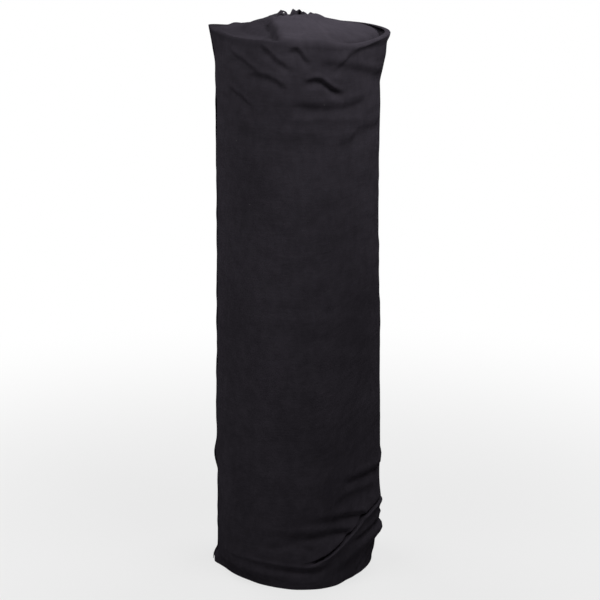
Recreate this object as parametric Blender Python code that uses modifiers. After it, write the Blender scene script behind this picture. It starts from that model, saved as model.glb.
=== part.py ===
"""Roll of weed control fabric standing on end, its slack outer turn folded in over the top.

Metres, +Z up. The origin is on the roll's axis, at the foot. The side with the gathered
foot and the folded rim faces -Y. Angles are in degrees round the axis, from +X towards +Y.
"""

import math

import bmesh
import bpy
import numpy as np

# Driving dimensions
WEB_WIDTH = 1.000
PACKED_RADIUS = 0.128
CORE_BORE = 0.050
RIM_STAND = 0.020
RIM_SLACK = 0.0067
FOOT_SLUMP = 0.009
CLOTH_THICKNESS = 0.0010
SEAT_GAP = 0.0003

# Core tube and the tape that starts the web on it
CORE_WALL = 0.003
CORE_RECESS = 0.004
TAPE_THICKNESS = 0.0003
TAPE_INSET = 0.030
TAPE_COLUMNS = 6

# Slack turns between the packed ones and the outer wrap
LOOSE_TURNS = 3
LOOSE_PITCH_FOOT = 0.0023
LOOSE_PITCH_BODY = 0.0040
LOOSE_INSET = 0.004
LOOSE_WAIST = 0.070

# Every round piece has its facets at the same angles, so that nested faces stay clear
COLUMNS_PER_TURN = 45
COLUMN_STEP = 360 / COLUMNS_PER_TURN
HINGE_COLUMN = 17
TAIL_COLUMNS = 6
UNDERLAP_COLUMNS = 1
SEAM_MERGE = 0.00001

# Outer wrap, from its hem to the rim
HEM_LIFT = 0.001
GATHER_HEIGHT = 0.138
RIDGE_DROP = 0.009
RIDGE_RISE = 0.006
CREASE_DEPTH = 0.005
UPPER_ROLL = 0.016
UPPER_ROLL_RISE = 0.0015
LOBE_RISE = 0.004
SIDE_BUMP_ABOVE_GATHER = 0.076
SIDE_BUMP_RISE = 0.003
SOFT_FOLD_BELOW_RIM = 0.134
SOFT_FOLD_DEPTH = 0.0025
RIM_CREASE_BELOW_RIM = 0.075
RIM_CREASE_DEPTH = 0.004
SHOULDER_BELOW_RIM = 0.032
SHOULDER_FLARE_SHARE = 0.5
LOWER_WALL_SHARE = 0.35
UPPER_WALL_SHARE = 0.75
LOWER_TUCK_SHARE = 0.3
LOBE_SHARE = 0.62
TUCK_OUT_SHARE = 0.4

# The free end of the web
TAIL_HEM_LIFT = 0.003
TAIL_EDGE_FLARE = 0.0025
EAR_FLARE = 0.0105
EAR_RISE = 0.012
EAR_DEPTH = 0.060
HEM_CORNER_FLARE = 0.006
HINGE_CLEARANCE = 0.0003
DOG_EAR_SHARE = 0.35

# Top cover: the cloth folded in from the rim to its ruffled mouth
LIP_CLEARANCE = 0.0011
LIP_STEP = 0.003
VALLEY_NEAR = 0.014
VALLEY_FAR = 0.022
VALLEY_DEPTH = 0.012
DOME_START = 0.034
DOME_RINGS = 5
MOUTH_SPREAD = 0.017
MOUTH_OFFSET_X = -0.010
MOUTH_OFFSET_Y = 0.008
MOUTH_RISE = 0.028
MOUTH_BACK_RISE = 0.008
RUFFLES = 9
RUFFLE_DEPTH = 0.004
THROAT_CLEARANCE = 0.005
THROAT_SPREAD = 0.006
THROAT_SHOULDER_RISE = 0.018
THROAT_MIDDLE_RISE = 0.002
LEFT_DROP = 0.004
DOME_POWER = 1.3

# Shapes that vary round the roll: (degrees, share) pairs, joined by straight runs
HEM_SHARES = (
    (-180, 0.62), (-157, 0.59), (-130, 0.39), (-104, 0.77), (-90, 1.0), (-78, 1.0),
    (-64, 0.71), (-48, 0.02), (-24, 0.02), (0, 0.18), (40, 0.60), (90, 0.67), (140, 0.71),
)
CREASE_SHARES = (
    (-180, 0.34), (-152, 0.35), (-134, 0.385), (-90, 0.39), (-75, 0.52), (-60, 0.73),
    (-45, 0.92), (-30, 1.0), (0, 0.96), (60, 0.81), (120, 0.52),
)
RIDGE_SHARES = (
    (-180, 0.0), (-150, 0.15), (-120, 0.30), (-90, 0.60), (-70, 0.90), (-40, 1.0), (0, 1.0),
    (30, 0.60), (70, 0.20), (100, 0.0), (180, 0.0),
)
LOBE_SHARES = ((-180, 0.0), (-60, 0.0), (-25, 0.5), (0, 1.0), (25, 0.5), (70, 0.0), (180, 0.0))
SIDE_BUMP_SHARES = ((-180, 0.0), (-40, 0.0), (-5, 0.8), (30, 0.0), (180, 0.0))
SOFT_FOLD_SHARES = ((-180, 0.0), (-110, 0.2), (-80, 1.0), (-55, 0.8), (-20, 0.0), (180, 0.0))
RIM_CREASE_SHARES = (
    (-180, 0.0), (-150, 0.0), (-136, 0.5), (-120, 0.0), (-86, 0.0), (-74, 1.0), (-62, 1.0),
    (-50, 0.0), (180, 0.0),
)
LIP_RADIUS_SHARES = (
    (-180, 1.0), (-90, 1.0), (-60, 1.015), (-40, 1.045), (-15, 1.100), (5, 1.120), (30, 1.095),
    (60, 1.045), (100, 1.010), (130, 1.0), (180, 1.0),
)
VALLEY_SHARES = (
    (-180, 0.15), (-120, 0.10), (-60, 0.10), (-35, 0.60), (-10, 1.0), (30, 1.0), (70, 0.50),
    (120, 0.25),
)
LEFT_DROP_SHARES = ((-180, 1.0), (-112, 1.0), (-100, 0.0), (120, 0.0), (150, 0.8))


# Sizes that follow from the ones above
CORE_RADIUS = CORE_BORE / 2 + CORE_WALL
PACKED_BORE_RADIUS = CORE_RADIUS + 2 * SEAT_GAP + TAPE_THICKNESS
THROAT_RADIUS = CORE_RADIUS + THROAT_CLEARANCE
LOOSE_RADIUS = PACKED_RADIUS + SEAT_GAP + CLOTH_THICKNESS
RIM_RADIUS = LOOSE_RADIUS + LOOSE_TURNS * LOOSE_PITCH_BODY + RIM_SLACK
FOOT_RADIUS = RIM_RADIUS + FOOT_SLUMP
DRAWN_IN_RADIUS = LOOSE_RADIUS + LOOSE_TURNS * LOOSE_PITCH_FOOT + CLOTH_THICKNESS + 2 * SEAT_GAP
RIM_HEIGHT = WEB_WIDTH + RIM_STAND
SHOULDER_HEIGHT = RIM_HEIGHT - SHOULDER_BELOW_RIM
RIM_CREASE_HEIGHT = RIM_HEIGHT - RIM_CREASE_BELOW_RIM
SOFT_FOLD_HEIGHT = RIM_HEIGHT - SOFT_FOLD_BELOW_RIM
SIDE_BUMP_HEIGHT = GATHER_HEIGHT + SIDE_BUMP_ABOVE_GATHER
UNDERLAP_DROP = CLOTH_THICKNESS + 2 * SEAT_GAP
HINGE_ANGLE = HINGE_COLUMN * COLUMN_STEP
TAIL_ANGLE = TAIL_COLUMNS * COLUMN_STEP
WRAP_START = HINGE_ANGLE - 360 - UNDERLAP_COLUMNS * COLUMN_STEP
LOOSE_LEVELS = (
    (LOOSE_INSET, LOOSE_PITCH_FOOT),
    (LOOSE_WAIST, LOOSE_PITCH_BODY),
    (WEB_WIDTH - LOOSE_INSET, LOOSE_PITCH_BODY),
)


def around(shares, angle):
    """The value at an angle, from (degrees, value) pairs that go once round."""
    degrees, values = zip(*shares)
    return float(np.interp(angle, degrees, values, period=360))


def mix(low, high, share):
    return low + (high - low) * share


def point(radius, angle, height):
    turn = math.radians(angle)
    return radius * math.cos(turn), radius * math.sin(turn), height


def wall_radius(height):
    """Outside of the slack outer turn, which slumps a little towards the foot."""
    return mix(FOOT_RADIUS, RIM_RADIUS, height / RIM_HEIGHT)


def lip_radius(angle):
    return RIM_RADIUS * around(LIP_RADIUS_SHARES, angle)


def rim_wall_radius(angle, height):
    """Outside of the wrap between its shoulder and its lip."""
    lip = lip_radius(angle)
    shoulder = wall_radius(SHOULDER_HEIGHT) + (lip - RIM_RADIUS) * SHOULDER_FLARE_SHARE
    return mix(shoulder, lip, (height - SHOULDER_HEIGHT) / (RIM_HEIGHT - SHOULDER_HEIGHT))


def wall_rings(angle):
    """(radius, height) of each ring of the outer wrap at an angle, from the hem to the lip."""
    crease = GATHER_HEIGHT * around(CREASE_SHARES, angle)
    ridge = around(RIDGE_SHARES, angle)
    hem = mix(DRAWN_IN_RADIUS, FOOT_RADIUS, around(HEM_SHARES, angle))
    lower_wall = mix(SIDE_BUMP_HEIGHT, SOFT_FOLD_HEIGHT, LOWER_WALL_SHARE)
    upper_wall = mix(SIDE_BUMP_HEIGHT, SOFT_FOLD_HEIGHT, UPPER_WALL_SHARE)
    tuck_height = crease * LOWER_TUCK_SHARE
    lobe_height = crease * LOBE_SHARE
    crest_height = crease - RIDGE_DROP
    roll_height = crease + UPPER_ROLL
    lobe = LOBE_RISE * around(LOBE_SHARES, angle)
    side_bump = SIDE_BUMP_RISE * around(SIDE_BUMP_SHARES, angle)
    soft_fold = SOFT_FOLD_DEPTH * around(SOFT_FOLD_SHARES, angle)
    rim_crease = RIM_CREASE_DEPTH * around(RIM_CREASE_SHARES, angle)
    return (
        (hem, HEM_LIFT),
        (mix(hem, wall_radius(tuck_height), TUCK_OUT_SHARE), tuck_height),
        (wall_radius(lobe_height) + lobe, lobe_height),
        (wall_radius(crest_height) + RIDGE_RISE * ridge, crest_height),
        (wall_radius(crease) - CREASE_DEPTH * ridge, crease),
        (wall_radius(roll_height) + UPPER_ROLL_RISE * ridge, roll_height),
        (wall_radius(SIDE_BUMP_HEIGHT) + side_bump, SIDE_BUMP_HEIGHT),
        (wall_radius(lower_wall), lower_wall),
        (wall_radius(upper_wall), upper_wall),
        (wall_radius(SOFT_FOLD_HEIGHT) - soft_fold, SOFT_FOLD_HEIGHT),
        (wall_radius(RIM_CREASE_HEIGHT) - rim_crease, RIM_CREASE_HEIGHT),
        (rim_wall_radius(angle, SHOULDER_HEIGHT), SHOULDER_HEIGHT),
        (lip_radius(angle), RIM_HEIGHT),
    )


def underlap(column):
    """How far the wrap is drawn in, at a column from its start, so that the tail lies on it."""
    past_tail = (column - UNDERLAP_COLUMNS - TAIL_COLUMNS) / TAIL_COLUMNS
    return UNDERLAP_DROP * (1 - min(max(past_tail, 0), 1))


def wrap_point(column, row):
    """The wrap starts under the tail, goes once round and ends at the tail's hinge line."""
    angle = WRAP_START + column * COLUMN_STEP
    radius, height = wall_rings(angle)[row]
    return point(radius - underlap(column), angle, height)


def tail_point(column, row):
    """The free end lies on the wrap; its upper corner stands off as an ear."""
    share = column / TAIL_COLUMNS
    root_gap = math.degrees(SEAT_GAP / RIM_RADIUS)
    angle = mix(HINGE_ANGLE + root_gap, HINGE_ANGLE + TAIL_ANGLE, share)
    radius, height = wall_rings(angle)[row]
    hang = wall_radius(height)
    radius = max(radius, mix(radius, hang, share))
    edge = max(share - DOG_EAR_SHARE, 0) / (1 - DOG_EAR_SHARE)
    ear = max(height - RIM_HEIGHT + EAR_DEPTH, 0) / EAR_DEPTH
    hem = max(1 - height / EAR_DEPTH, 0)
    flare = TAIL_EDGE_FLARE + EAR_FLARE * ear**2 + HEM_CORNER_FLARE * hem**2
    height = max(height, TAIL_HEM_LIFT)
    return point(radius + flare * edge, angle, height + EAR_RISE * edge * ear)


def loose_point(column, row):
    """The slack turns: one unbroken spiral, drawn in at the foot."""
    angle = WRAP_START + COLUMN_STEP * (column - LOOSE_TURNS * COLUMNS_PER_TURN)
    height, pitch = LOOSE_LEVELS[row]
    return point(LOOSE_RADIUS + pitch * column / COLUMNS_PER_TURN, angle, height)


def tape_point(column, row):
    height = (TAPE_INSET, WEB_WIDTH - TAPE_INSET)[row]
    return point(CORE_RADIUS + SEAT_GAP + TAPE_THICKNESS, column * COLUMN_STEP, height)


def cover_rings(angle):
    """(radius, height) of each ring of the top cover, from the lip in to the throat."""
    lip = lip_radius(angle)
    valley = VALLEY_DEPTH * around(VALLEY_SHARES, angle)
    turn = math.radians(angle)
    ruffle = RUFFLE_DEPTH * math.sin(RUFFLES * turn)
    offset = MOUTH_OFFSET_X * math.cos(turn) + MOUTH_OFFSET_Y * math.sin(turn)
    mouth = THROAT_RADIUS + MOUTH_SPREAD + offset + ruffle
    back = (1 + math.sin(turn)) / 2
    rise = MOUTH_RISE + MOUTH_BACK_RISE * back
    drop = LEFT_DROP * around(LEFT_DROP_SHARES, angle)
    edge_height = RIM_HEIGHT - LIP_STEP
    edge = rim_wall_radius(angle, edge_height) - CLOTH_THICKNESS - LIP_CLEARANCE
    edge -= underlap((angle - WRAP_START) % 360 / COLUMN_STEP)
    rings = [
        (edge, edge_height),
        (lip - VALLEY_NEAR, edge_height - valley),
        (lip - VALLEY_FAR, edge_height - valley),
    ]
    dome_start = lip - DOME_START
    for ring in range(DOME_RINGS):
        share = ring / DOME_RINGS
        low = RIM_HEIGHT - (valley + drop) * (1 - share)
        rings.append((mix(dome_start, mouth, share), low + rise * share**DOME_POWER))
    rings.append((mouth, RIM_HEIGHT + rise + ruffle))
    rings.append((THROAT_RADIUS + THROAT_SPREAD, RIM_HEIGHT + THROAT_SHOULDER_RISE))
    rings.append((THROAT_RADIUS, RIM_HEIGHT + THROAT_MIDDLE_RISE))
    rings.append((THROAT_RADIUS, WEB_WIDTH + SEAT_GAP))
    return rings


def cover_point(column, row):
    radius, height = cover_rings(column * COLUMN_STEP)[row]
    return point(radius, column * COLUMN_STEP, height)


def material(name, colour, roughness):
    made = bpy.data.materials.new(name)
    made.use_nodes = True
    shader = made.node_tree.nodes["Principled BSDF"]
    shader.inputs["Base Color"].default_value = (*colour, 1)
    shader.inputs["Roughness"].default_value = roughness
    shader.inputs["Metallic"].default_value = 0
    made.diffuse_color = (*colour, 1)
    return made


def add_object(name, mesh, finish, parent=None):
    mesh.materials.append(finish)
    obj = bpy.data.objects.new(name, mesh)
    bpy.data.collections[COLLECTION].objects.link(obj)
    if parent:
        obj.parent = parent
        obj.matrix_parent_inverse = parent.matrix_world.inverted()
    return obj


def sheet(name, columns, rows, place, thickness, finish, parent=None):
    """A grid of cloth laid by place(column, row), thickened towards the roll."""
    bm = bmesh.new()
    bmesh.ops.create_grid(bm, x_segments=columns, y_segments=rows, size=1)
    for vert in bm.verts:
        column = round((vert.co.x + 1) / 2 * columns)
        row = round((vert.co.y + 1) / 2 * rows)
        vert.co = place(column, row)
    bmesh.ops.remove_doubles(bm, verts=bm.verts, dist=SEAM_MERGE)
    mesh = bpy.data.meshes.new(name)
    bm.to_mesh(mesh)
    bm.free()
    mesh.shade_smooth()
    obj = add_object(name, mesh, finish, parent)
    shell = obj.modifiers.new("Cloth thickness", "SOLIDIFY")
    shell.thickness = thickness
    shell.offset = -1
    return obj


def turned_tube(name, inner, outer, bottom, top, finish):
    """A tube turned from its section, which runs down the outer side first."""
    section = ((outer, 0, top), (outer, 0, bottom), (inner, 0, bottom), (inner, 0, top))
    edges = [(corner, (corner + 1) % len(section)) for corner in range(len(section))]
    mesh = bpy.data.meshes.new(name)
    mesh.from_pydata(section, edges, [])
    obj = add_object(name, mesh, finish)
    turn = obj.modifiers.new("Turn", "SCREW")
    turn.steps = turn.render_steps = COLUMNS_PER_TURN
    turn.use_merge_vertices = True
    turn.merge_threshold = SEAM_MERGE
    turn.use_smooth_shade = False
    return obj


def empty(name, location, parent=None):
    made = bpy.data.objects.new(name, None)
    bpy.data.collections[COLLECTION].objects.link(made)
    made.parent = parent
    made.location = location
    bpy.context.view_layer.update()
    return made


def print_least_gap():
    """The least gap from each slack turn to the next one in, on the points of the spiral."""
    gaps = []
    for row in range(len(LOOSE_LEVELS)):
        for column in range(COLUMNS_PER_TURN, LOOSE_TURNS * COLUMNS_PER_TURN + 1):
            outer = math.hypot(*loose_point(column, row)[:2])
            inner = math.hypot(*loose_point(column - COLUMNS_PER_TURN, row)[:2])
            gaps.append(outer - inner - CLOTH_THICKNESS)
    print(f"least gap between slack turns: {min(gaps):.5f} m")


COLLECTION = "weed_control_fabric_roll"


def build():
    for obj in list(bpy.data.objects):
        bpy.data.objects.remove(obj, do_unlink=True)
    collection = bpy.data.collections.new(COLLECTION)
    bpy.context.scene.collection.children.link(collection)

    cardboard = material("Core cardboard", (0.36, 0.24, 0.14), 0.85)
    tape = material("Starter tape", (0.55, 0.42, 0.25), 0.45)
    wound = material("Packed cloth", (0.018, 0.017, 0.021), 0.95)
    slack = material("Slack cloth", (0.020, 0.019, 0.023), 0.92)
    outer = material("Outer cloth", (0.022, 0.021, 0.026), 0.90)
    cover = material("Cover cloth", (0.026, 0.025, 0.030), 0.90)
    free_end = material("Tail cloth", (0.022, 0.020, 0.025), 0.90)

    turned_tube(
        "core_tube", CORE_BORE / 2, CORE_RADIUS, CORE_RECESS, WEB_WIDTH - CORE_RECESS, cardboard
    )
    sheet("starter_tape", TAPE_COLUMNS, 1, tape_point, TAPE_THICKNESS, tape)
    turned_tube("packed_turns", PACKED_BORE_RADIUS, PACKED_RADIUS, 0, WEB_WIDTH, wound)

    axis = empty("roll_axis", (0, 0, 0))
    loose_columns = LOOSE_TURNS * COLUMNS_PER_TURN
    loose_rows = len(LOOSE_LEVELS) - 1
    sheet("loose_turns", loose_columns, loose_rows, loose_point, CLOTH_THICKNESS, slack, axis)
    wrap_columns = COLUMNS_PER_TURN + UNDERLAP_COLUMNS
    wrap_rows = len(wall_rings(HINGE_ANGLE)) - 1
    sheet("outer_wrap", wrap_columns, wrap_rows, wrap_point, CLOTH_THICKNESS, outer, axis)
    cover_rows = len(cover_rings(HINGE_ANGLE)) - 1
    sheet("top_cover", COLUMNS_PER_TURN, cover_rows, cover_point, CLOTH_THICKNESS, cover, axis)

    hinge_foot = point(FOOT_RADIUS + HINGE_CLEARANCE, HINGE_ANGLE, 0)
    hinge = empty("tail_hinge", hinge_foot, axis)
    sheet("tail", TAIL_COLUMNS, wrap_rows, tail_point, CLOTH_THICKNESS, free_end, hinge)
    print_least_gap()


build()
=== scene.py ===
"""Roll of weed control fabric standing on end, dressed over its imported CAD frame.

Metres, +Z up. The origin is on the roll's axis, at the foot. Angles are in degrees round the
axis, from +X towards +Y, so -90 is the side that faces the camera.
"""

import math

import bpy
import numpy as np
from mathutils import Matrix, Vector


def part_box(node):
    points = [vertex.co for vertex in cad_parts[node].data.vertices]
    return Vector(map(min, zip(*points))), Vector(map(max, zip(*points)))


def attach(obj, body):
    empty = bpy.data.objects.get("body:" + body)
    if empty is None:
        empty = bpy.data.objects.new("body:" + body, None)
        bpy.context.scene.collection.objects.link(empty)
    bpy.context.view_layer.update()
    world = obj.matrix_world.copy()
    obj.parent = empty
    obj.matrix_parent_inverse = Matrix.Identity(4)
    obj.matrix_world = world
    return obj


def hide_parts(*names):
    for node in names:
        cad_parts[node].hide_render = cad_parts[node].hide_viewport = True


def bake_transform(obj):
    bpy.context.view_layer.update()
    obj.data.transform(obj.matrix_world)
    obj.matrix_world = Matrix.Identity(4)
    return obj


bl_info = {
    "name": "Weed control fabric roll",
    "version": (1, 0, 0),
    "blender": (4, 5, 0),
    "location": "View3D > Sidebar > Fabric roll",
    "description": "Builds the cloth, the core and the stage of a roll of weed control fabric",
    "category": "Object",
}

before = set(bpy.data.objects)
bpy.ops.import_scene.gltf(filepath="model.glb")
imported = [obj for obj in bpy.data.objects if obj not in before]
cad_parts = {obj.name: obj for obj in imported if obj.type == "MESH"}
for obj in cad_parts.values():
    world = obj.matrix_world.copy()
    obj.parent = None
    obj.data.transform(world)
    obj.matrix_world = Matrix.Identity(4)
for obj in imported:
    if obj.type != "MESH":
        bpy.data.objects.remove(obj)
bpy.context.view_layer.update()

# Sizes shared with the solids
PACKED_BORE_RADIUS = 0.0289
CORE_RADIUS = 0.028
CORE_BORE_RADIUS = 0.025
DRAWN_IN_RADIUS = 0.1378
FOOT_RADIUS = 0.157
LOOSE_RADIUS = 0.1293
LOOSE_TURNS = 3
LOOSE_PITCH_FOOT = 0.0023
LOOSE_PITCH_BODY = 0.0040
LOOSE_INSET = 0.004
LOOSE_WAIST = 0.070
CLOTH_THICKNESS = 0.0010
SEAT_GAP = 0.0003
UNDERLAP_DROP = 0.0016
HINGE_ANGLE = 136
WRAP_START = -232
WRAP_TURN = 368
TAIL_TURN = 48
STRIP_TURN = 48
FULL_TURN = 360
UNDERLAP_FLAT_TURN = 56
UNDERLAP_FADE_TURN = 48
EDGE_SEAT = 0.0012
EDGE_SEAT_TURN = 6

# Columns and rows of each piece
OUTER_COLUMNS = 324
HEM_ROWS = 16
TUCK_ROWS = 46
BODY_ROWS = 112
UPPER_ROWS = 40
COVER_ROWS = 82
TAIL_COLUMNS = 56
TAIL_ROWS = 250
SLACK_COLUMNS = 360
SLACK_ROWS = 40
WOUND_COLUMNS = 150
END_RINGS = 60
SIDE_RINGS = 24
CORE_COLUMNS = 96
CORE_ROWS = 60
STRIP_COLUMNS = 24
STRIP_ROWS = 90
FLOOR_COLUMNS = 96
FLOOR_RINGS = 12

# The wall of the roll, from the foot to the rim
HEM_LIFT = 0.001
WAIST_RADIUS = 0.1475
BODY_FOOT_RADIUS = 0.1555
TUCK_REACH = 0.034
BODY_TOP = 0.880
WALL_TOP_GAP = 0.0016
LOBE_RISE = 0.0045
LOBE_WIDTH = 0.016
LOBE_START_SHARE = 0.22
LOBE_TOP_SHARE = 0.55
SLUMP_SHARES = (
    (0.0, 1.0), (0.27, 0.97), (0.43, 0.66), (0.59, 0.30), (0.66, 0.06), (0.75, 0.0), (0.91, 0.10),
    (1.0, 0.20),
)
TOP_LEAN = 0.006
TOP_LEAN_START = 0.950
TOP_LEAN_LENGTH = 0.075
TOP_LEAN_SHARES = (
    (-180, 0.0), (-166, 0.3), (-150, 0.9), (-120, 1.0), (-85, 1.0), (-62, 0.6), (-46, 0.1), (-30, 0.0),
    (180, 0.0),
)
HEM_SHARES = (
    (-180, 1.25), (-173, 1.31), (-165, 0.88), (-157, 0.62), (-130, 0.39), (-104, 0.77), (-90, 1.0),
    (-78, 1.0), (-64, 0.71), (-48, 0.06), (-24, 0.04), (0, 0.22), (40, 0.60), (90, 0.67), (140, 0.71),
    (165, 0.85),
)
CREASE_SHARES = (
    (-180, 0.34), (-134, 0.36), (-90, 0.37), (-80, 0.40), (-75, 0.44), (-69, 0.50), (-60, 0.628),
    (-49, 0.785), (-35, 0.945), (-18, 1.0), (-3, 0.95), (24, 0.86), (60, 0.74), (120, 0.52),
)
TUCK_SHARES = (
    (-180, 0.0), (-90, 0.0), (-81, 0.10), (-76, 0.55), (-66, 0.95), (-50, 1.0), (0, 1.0), (30, 0.60),
    (70, 0.20), (100, 0.0),
)
LOBE_SHARES = ((-180, 0.0), (-60, 0.0), (-25, 0.5), (0, 1.0), (25, 0.5), (70, 0.0))
LIP_SHARES = (
    (-180, 0.0), (-90, 0.0), (-60, 0.15), (-40, 0.40), (-15, 0.85), (5, 1.0), (30, 0.80), (60, 0.38),
    (100, 0.08), (130, 0.0),
)
FLARE_SHARES = ((0.0, 1.0), (0.006, 0.95), (0.018, 0.64), (0.040, 0.52), (0.056, 0.38), (0.090, 0.0))

# The tuck in section: height from its crease, then the cloth's shift outward and upward
TUCK_SECTION = (
    (-0.034, 0.0, 0.0), (-0.022, 0.0010, 0.0), (-0.015, 0.0034, 0.0), (-0.0108, 0.0056, 0.0004),
    (-0.0084, 0.0058, 0.0008), (-0.0070, 0.0030, 0.0012), (-0.0058, -0.0040, 0.0010),
    (-0.0042, -0.0104, 0.0010), (-0.0016, -0.0112, 0.0024), (0.0002, -0.0060, 0.0030),
    (0.0010, 0.0014, 0.0010), (0.0020, 0.0038, -0.0012), (0.0050, 0.0042, -0.0012), (0.011, 0.0030, 0.0),
    (0.022, 0.0010, 0.0), (0.034, 0.0, 0.0),
)

# Creases of the wall: depth, half width, turns over which each end fades, then (angle, height)
# of the dark line under it. A negative depth and half width make a ridge, steep below.
CREASE_SLOPE = 2.2
CREASE_BULGE_SHARE = 0.35
CREASE_BULGE_PLACE = 2.0
CREASE_DARK_PLACE = 0.9
WALL_CREASES = (
    (0.0072, 0.0056, 12, 16, (
        (-60, 0.209), (-51, 0.206), (-43, 0.208), (-30, 0.208), (-21, 0.206), (0, 0.196),
    )),
    (0.0044, 0.0070, 10, 20, (
        (-68, 0.162), (-62, 0.17), (-54, 0.177), (-46, 0.18), (-37, 0.178), (-16, 0.176),
    )),
    (0.0068, 0.0052, 32, 3, (
        (-90, 0.136), (-79, 0.1375), (-64, 0.137), (-57, 0.1384), (-44, 0.134), (-36, 0.131),
    )),
    (0.0062, 0.0048, 44, 4, (
        (-124, 0.108), (-111, 0.109), (-103, 0.107), (-87, 0.108), (-76, 0.11), (-64, 0.112),
        (-51, 0.107),
    )),
    (0.0026, 0.0046, 10, 10, (
        (-116, 0.084), (-108, 0.085), (-101, 0.09), (-96, 0.095), (-87, 0.091), (-82, 0.083), (-76, 0.08),
    )),
    (0.0036, 0.0042, 40, 10, (
        (-154, 0.044), (-131, 0.0465), (-116, 0.0467), (-101, 0.044), (-83, 0.0394), (-73, 0.042),
        (-64, 0.05),
    )),
    (0.0084, 0.0044, 14, 8, (
        (-52, 0.083), (-48, 0.085), (-41, 0.089), (-30, 0.092), (-21, 0.096), (-8, 0.0915), (8, 0.088),
        (26, 0.08),
    )),
    (0.0040, 0.0028, 4, 6, ((-41, 0.008), (-36, 0.015), (-26, 0.032), (-16, 0.0415), (-6, 0.05))),
    (0.0034, 0.0026, 4, 4, ((-29, 0.006), (-24, 0.014), (-14, 0.029), (-4, 0.038))),
    (0.0068, 0.0043, 8, 10, (
        (-88, 0.954), (-84, 0.954), (-79, 0.9575), (-74, 0.956), (-70, 0.948), (-65, 0.938), (-60, 0.932),
        (-54, 0.93),
    )),
    (0.0048, 0.0052, 6, 8, (
        (-146, 0.996), (-141, 0.992), (-131, 0.984), (-126, 0.976), (-122, 0.971), (-116, 0.965),
    )),
    (0.0036, 0.0046, 8, 9, (
        (-132, 0.961), (-125, 0.961), (-118, 0.963), (-111, 0.961), (-104, 0.953), (-101, 0.947),
        (-95, 0.941),
    )),
    (0.0046, 0.0046, 6, 8, ((-147, 0.935), (-142, 0.93), (-134, 0.922), (-127, 0.911), (-121, 0.904))),
    (0.0038, 0.0044, 7, 9, (
        (-120, 1.014), (-115, 1.011), (-112, 1.006), (-108, 0.998), (-104, 0.989), (-97, 0.9785),
        (-92, 0.976),
    )),
    (0.0042, 0.0046, 6, 8, (
        (-99, 1.004), (-96, 1.0075), (-91, 1.011), (-88, 1.005), (-85, 0.992), (-79, 0.985),
    )),
    (0.0050, 0.0090, 16, 12, (
        (-98, 0.912), (-84, 0.911), (-70, 0.907), (-57, 0.907), (-45, 0.91), (-32, 0.914),
    )),
    (-0.0026, -0.0080, 16, 14, (
        (-102, 0.878), (-87, 0.88), (-73, 0.881), (-60, 0.878), (-43, 0.873), (-30, 0.87),
    )),
    (0.0034, 0.0090, 10, 12, (
        (-66, 0.84), (-54, 0.842), (-50, 0.846), (-45, 0.8575), (-35, 0.861), (-18, 0.862), (-2, 0.866),
    )),
    (0.0020, 0.0120, 16, 16, ((-150, 0.866), (-128, 0.86), (-104, 0.852), (-80, 0.856), (-66, 0.846))),
    (0.0038, 0.0080, 12, 14, (
        (-80, 0.986), (-64, 0.983), (-55, 0.978), (-43, 0.97), (-20, 0.954), (-4, 0.95),
    )),
    (-0.0036, -0.0056, 10, 12, (
        (-68, 0.962), (-62, 0.974), (-57, 0.987), (-52, 0.997), (-46, 1.004), (-36, 1.009), (-20, 1.012),
    )),
)
BACK_CREASES = (
    (0.0036, 0.0080, 18, 22, ((24, 0.946), (50, 0.938), (80, 0.941), (112, 0.934))),
    (0.0030, 0.0100, 18, 18, ((70, 0.884), (100, 0.876), (128, 0.880), (160, 0.874))),
    (0.0044, 0.0060, 22, 20, ((30, 0.170), (62, 0.163), (96, 0.158), (126, 0.160))),
    (0.0030, 0.0070, 14, 16, ((100, 0.092), (124, 0.088), (150, 0.090), (172, 0.086))),
    (0.0026, 0.0080, 14, 14, ((44, 0.242), (70, 0.248), (96, 0.244))),
)
# Puffs of the wall: rise, angle, half width in degrees, height, half height
PUFFS = (
    (0.0046, 181, 9, 0.219, 0.021), (-0.0014, 181, 10, 0.186, 0.010), (0.0020, 180, 16, 0.900, 0.120),
    (0.0104, 182, 15, 1.028, 0.038), (0.0032, 2, 16, 0.214, 0.011), (0.0026, 180, 24, 0.640, 0.220),
    (0.0054, -8, 17, 0.032, 0.014), (0.0040, -3, 16, 0.064, 0.013), (-0.0024, 2, 12, 0.138, 0.011),
    (0.0040, -60, 20, 0.004, 0.030),
)

# Soft wrinkles of the wall: depth, cells round the roll, cell height, slant, low end, high end, seed
WALL_WRINKLES = (
    (0.0011, 9, 0.150, 0.0, 0.05, 1.02, 11), (0.0008, 14, 0.034, 0.2, 0.15, 1.02, 12),
    (0.0006, 26, 0.019, 0.4, 0.20, 0.99, 13), (0.0007, 22, 0.024, 1.6, 0.91, 1.04, 14),
    (0.0006, 30, 0.016, -0.8, -0.02, 0.17, 15), (0.0010, 30, 0.200, 0.0, -0.04, 0.05, 16),
)
WRINKLE_FADE = 0.04

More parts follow.
